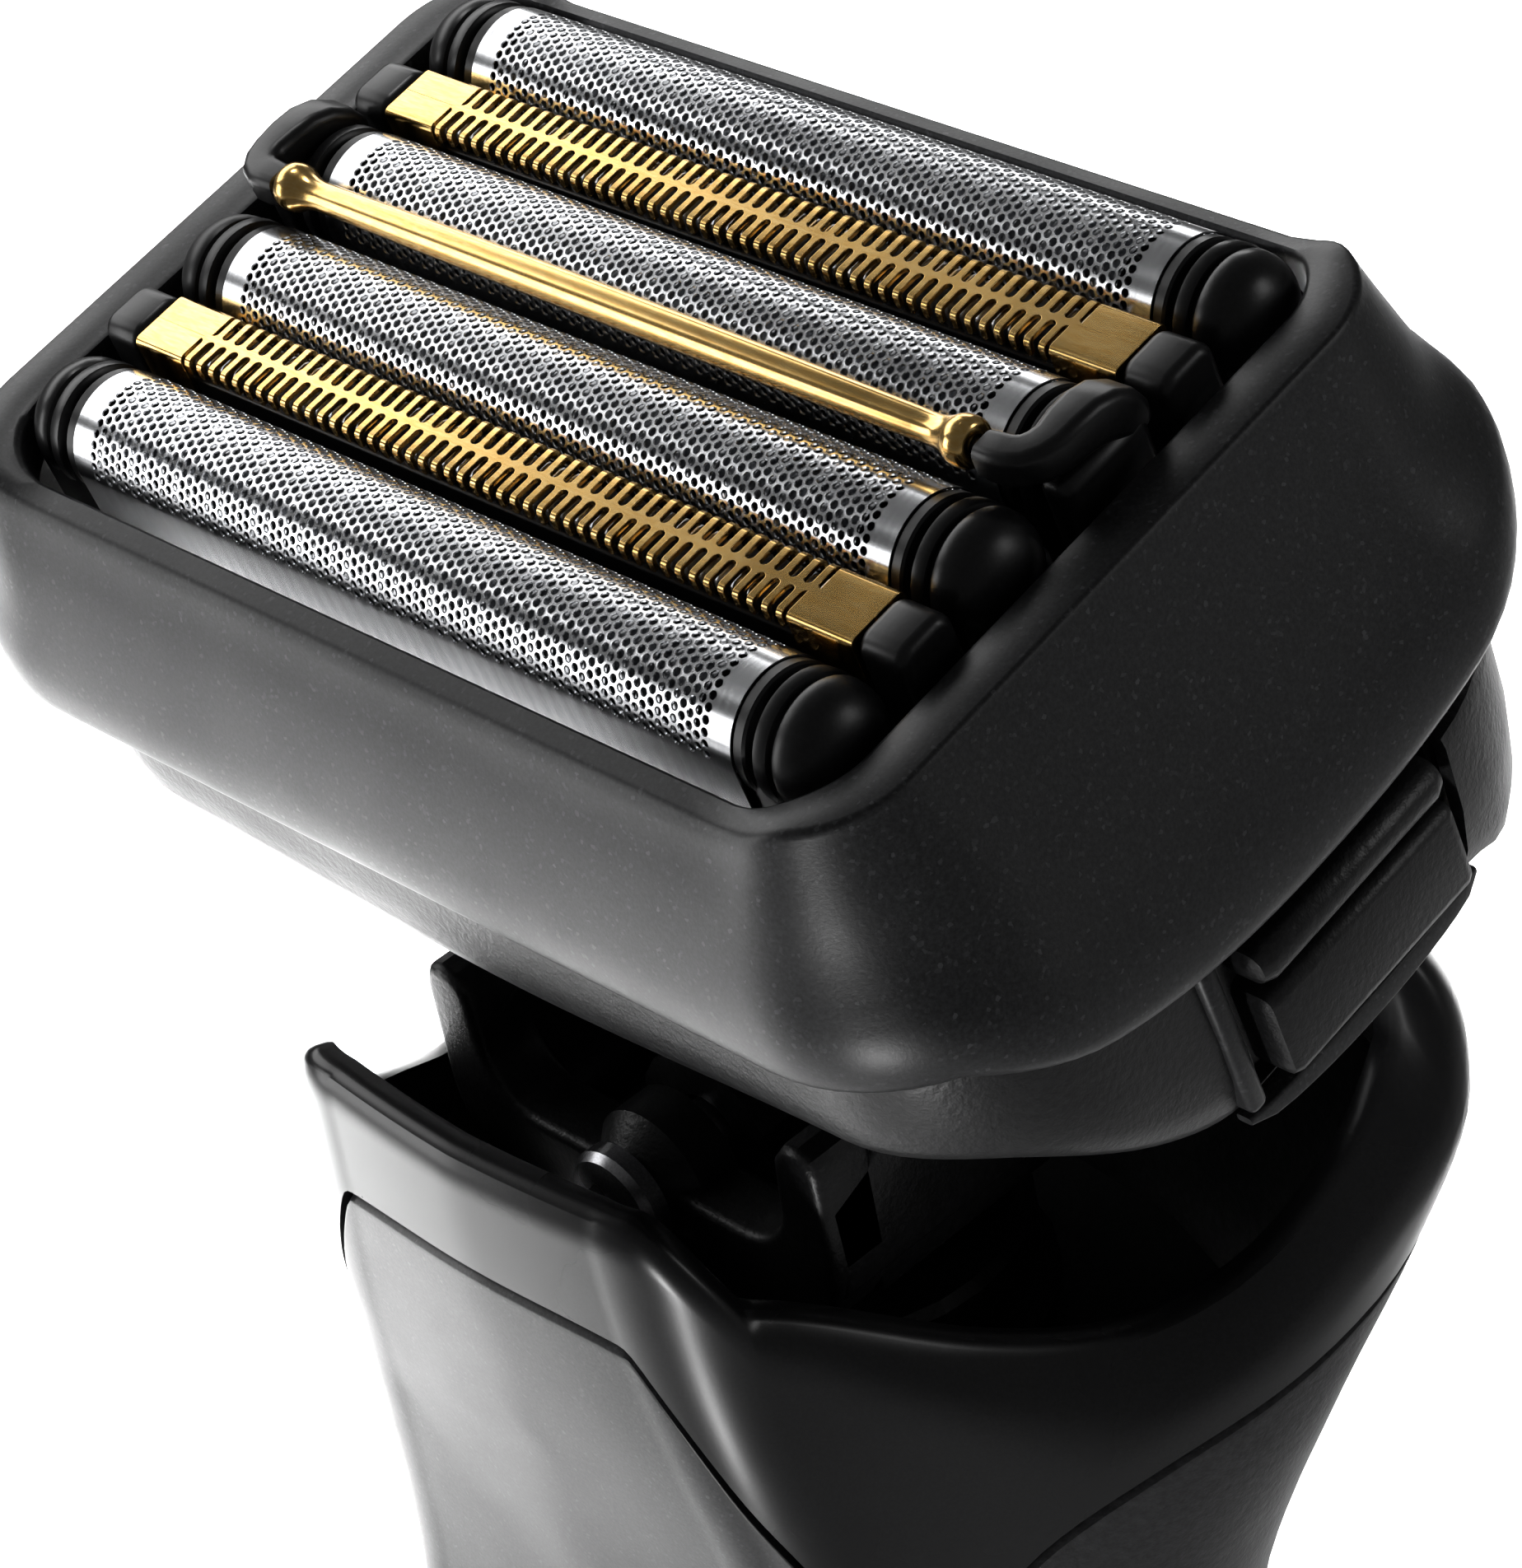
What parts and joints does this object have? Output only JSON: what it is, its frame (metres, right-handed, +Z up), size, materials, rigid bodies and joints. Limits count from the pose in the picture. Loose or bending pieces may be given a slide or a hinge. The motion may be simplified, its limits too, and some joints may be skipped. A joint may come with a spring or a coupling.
{
  "type": "foil shaver",
  "caption": "Hand-held foil shaver with a floating, tilting head of perforated foils, slit blades and a comfort roller, and a pop-up trimmer on the back.",
  "frame": {"origin": "under the middle of the overall box, on the plane of the flat base", "axes": "+Z up the handle to the head, X along the foils, -Y out of the front panel with the power button"},
  "size_m": [0.0552, 0.0386, 0.168],
  "materials": {
    "frame_plastic": "fine sparkle grain, satin",
    "base_plastic": "moulded grain",
    "cap_plastic": "satin",
    "foil_steel": "bright",
    "blade_gold": "polished gold-coloured coating",
    "cutter_steel": "ground",
    "collar_gloss": "glossy",
    "panel_matte": "fine grain",
    "grip_rubber": "coarse grain",
    "inner_plastic": "plain",
    "bright_metal": "satin",
    "coil_copper": "wound wire",
    "circuit_green": "solder mask",
    "battery_wrap": "shrink wrapped",
    "seal_rubber": "matt",
    "smoked_lens": "polished",
    "ring_metal": "satin"
  },
  "bodies": {
    "handle": {"collar": "collar_gloss", "front_panel": "panel_matte", "rear_grip": "grip_rubber", "bottom_cap": "base_plastic", "charge_socket": "inner_plastic", "neck_deck": "base_plastic", "deck_screw_left": "bright_metal", "deck_screw_right": "bright_metal", "neck_seal": "seal_rubber", "chassis": "inner_plastic", "battery": "battery_wrap", "circuit_board": "circuit_green", "button_ring": "ring_metal", "display_lens": "smoked_lens", "trimmer_guide": "inner_plastic", "lift_spring": "bright_metal"},
    "neck": {"neck_post": "inner_plastic"},
    "swivel": {"swivel_block": "base_plastic", "roll_pin": "bright_metal"},
    "gimbal": {"cradle": "base_plastic", "tilt_pin_left": "bright_metal", "tilt_pin_right": "bright_metal"},
    "head": {"head_frame": "frame_plastic", "head_base": "base_plastic", "blade_deck": "base_plastic", "rear_cover": "base_plastic", "motor_housing": "inner_plastic", "motor_core": "bright_metal", "motor_coil": "coil_copper"},
    "release_left": {"release_button_left": "base_plastic"},
    "release_right": {"release_button_right": "base_plastic"},
    "foil_unit_1": {"foil_1": "foil_steel", "foil_holder_1": "cap_plastic"},
    "foil_unit_4": {"foil_4": "foil_steel", "foil_holder_4": "cap_plastic"},
    "centre_unit": {"foil_2": "foil_steel", "foil_holder_2": "cap_plastic", "foil_3": "foil_steel", "foil_holder_3": "cap_plastic", "roller_axle": "bright_metal", "roller_bracket_left": "cap_plastic", "roller_bracket_right": "cap_plastic"},
    "slit_unit_1": {"slit_blade_1": "blade_gold", "slit_holder_1": "cap_plastic"},
    "slit_unit_2": {"slit_blade_2": "blade_gold", "slit_holder_2": "cap_plastic"},
    "cutter_1": {"inner_cutter_1": "cutter_steel"},
    "cutter_2": {"inner_cutter_2": "cutter_steel"},
    "cutter_3": {"inner_cutter_3": "cutter_steel"},
    "cutter_4": {"inner_cutter_4": "cutter_steel"},
    "slit_cutter_body_1": {"slit_cutter_1": "cutter_steel"},
    "slit_cutter_body_2": {"slit_cutter_2": "cutter_steel"},
    "drive_a": {"carriage_a": "inner_plastic"},
    "drive_b": {"carriage_b": "inner_plastic"},
    "roller": {"comfort_roller": "blade_gold"},
    "button": {"power_button": "panel_matte"},
    "trimmer": {"trimmer_slider": "base_plastic", "trimmer_comb": "cutter_steel"},
    "trimmer_cutter": {"trimmer_blade": "bright_metal"}
  },
  "joints": [
    {"name": "neck_lift", "type": "slide", "parent": "handle", "child": "neck", "axis": [0, 0, 1], "range_m": [-0.0006, 0.0006], "stiffness_N_per_m": 4000, "springref_m": 0.00015, "deforming": ["lift_spring"]},
    {"name": "head_twist", "type": "hinge", "parent": "neck", "child": "swivel", "pos_m": [0, -0.00122, 0.119], "axis": [0, 0, 1], "range_deg": [-5, 5], "stiffness_Nm_per_rad": 0.05},
    {"name": "head_roll", "type": "hinge", "parent": "swivel", "child": "gimbal", "pos_m": [0, -0.00122, 0.1307], "axis": [0, 1, 0], "range_deg": [-5, 5], "stiffness_Nm_per_rad": 0.2},
    {"name": "head_tilt", "type": "hinge", "parent": "gimbal", "child": "head", "pos_m": [0, 0.00128, 0.141], "axis": [1, 0, 0], "range_deg": [-6, 8], "stiffness_Nm_per_rad": 0.3},
    {"name": "foil_1_float", "type": "slide", "parent": "head", "child": "foil_unit_1", "axis": [0, 0.225, -0.9744], "range_m": [0, 0.0015], "stiffness_N_per_m": 300, "springref_m": -0.002},
    {"name": "slit_1_float", "type": "slide", "parent": "head", "child": "slit_unit_1", "axis": [0, 0.225, -0.9744], "range_m": [0, 0.0015], "stiffness_N_per_m": 300, "springref_m": -0.002},
    {"name": "centre_float", "type": "slide", "parent": "head", "child": "centre_unit", "axis": [0, 0.225, -0.9744], "range_m": [0, 0.0015], "stiffness_N_per_m": 300, "springref_m": -0.002},
    {"name": "slit_2_float", "type": "slide", "parent": "head", "child": "slit_unit_2", "axis": [0, 0.225, -0.9744], "range_m": [0, 0.0015], "stiffness_N_per_m": 300, "springref_m": -0.002},
    {"name": "foil_4_float", "type": "slide", "parent": "head", "child": "foil_unit_4", "axis": [0, 0.225, -0.9744], "range_m": [0, 0.0015], "stiffness_N_per_m": 300, "springref_m": -0.002},
    {"name": "roller_spin", "type": "hinge", "parent": "centre_unit", "child": "roller", "pos_m": [0, -0.00298, 0.16614], "axis": [1, 0, 0], "continuous": true},
    {"name": "drive_a", "type": "slide", "parent": "head", "child": "drive_a", "axis": [1, 0, 0], "range_m": [-0.0011, 0.0011], "stiffness_N_per_m": 400},
    {"name": "drive_b", "type": "slide", "parent": "head", "child": "drive_b", "axis": [1, 0, 0], "range_m": [-0.0011, 0.0011]},
    {"name": "cutter_1_stroke", "type": "slide", "parent": "foil_unit_1", "child": "cutter_1", "axis": [1, 0, 0], "range_m": [-0.0011, 0.0011]},
    {"name": "slit_1_stroke", "type": "slide", "parent": "slit_unit_1", "child": "slit_cutter_body_1", "axis": [1, 0, 0], "range_m": [-0.0011, 0.0011]},
    {"name": "cutter_2_stroke", "type": "slide", "parent": "centre_unit", "child": "cutter_2", "axis": [1, 0, 0], "range_m": [-0.0011, 0.0011]},
    {"name": "cutter_3_stroke", "type": "slide", "parent": "centre_unit", "child": "cutter_3", "axis": [1, 0, 0], "range_m": [-0.0011, 0.0011]},
    {"name": "slit_2_stroke", "type": "slide", "parent": "slit_unit_2", "child": "slit_cutter_body_2", "axis": [1, 0, 0], "range_m": [-0.0011, 0.0011]},
    {"name": "cutter_4_stroke", "type": "slide", "parent": "foil_unit_4", "child": "cutter_4", "axis": [1, 0, 0], "range_m": [-0.0011, 0.0011]},
    {"name": "release_left_press", "type": "slide", "parent": "head", "child": "release_left", "axis": [1, 0, 0], "range_m": [0, 0.0015], "stiffness_N_per_m": 500, "springref_m": -0.001},
    {"name": "release_right_press", "type": "slide", "parent": "head", "child": "release_right", "axis": [-1, 0, 0], "range_m": [0, 0.0015], "stiffness_N_per_m": 500, "springref_m": -0.001},
    {"name": "power_press", "type": "slide", "parent": "handle", "child": "button", "axis": [0, 1, 0], "range_m": [0, 0.0005], "stiffness_N_per_m": 800, "springref_m": -0.001},
    {"name": "trimmer_slide", "type": "slide", "parent": "handle", "child": "trimmer", "axis": [0, 0, 1], "range_m": [0, 0.0085]},
    {"name": "trimmer_stroke", "type": "slide", "parent": "trimmer", "child": "trimmer_cutter", "axis": [1, 0, 0], "range_m": [-0.0008, 0.0008]}
  ],
  "couplings": [
    {"joint": "drive_b", "follows": "drive_a", "ratio": -1},
    {"joint": "cutter_1_stroke", "follows": "drive_a", "ratio": 1},
    {"joint": "slit_1_stroke", "follows": "drive_a", "ratio": 1},
    {"joint": "cutter_2_stroke", "follows": "drive_a", "ratio": 1},
    {"joint": "cutter_3_stroke", "follows": "drive_a", "ratio": -1},
    {"joint": "slit_2_stroke", "follows": "drive_a", "ratio": -1},
    {"joint": "cutter_4_stroke", "follows": "drive_a", "ratio": -1},
    {"joint": "trimmer_stroke", "follows": "drive_a", "ratio": 0.72}
  ]
}
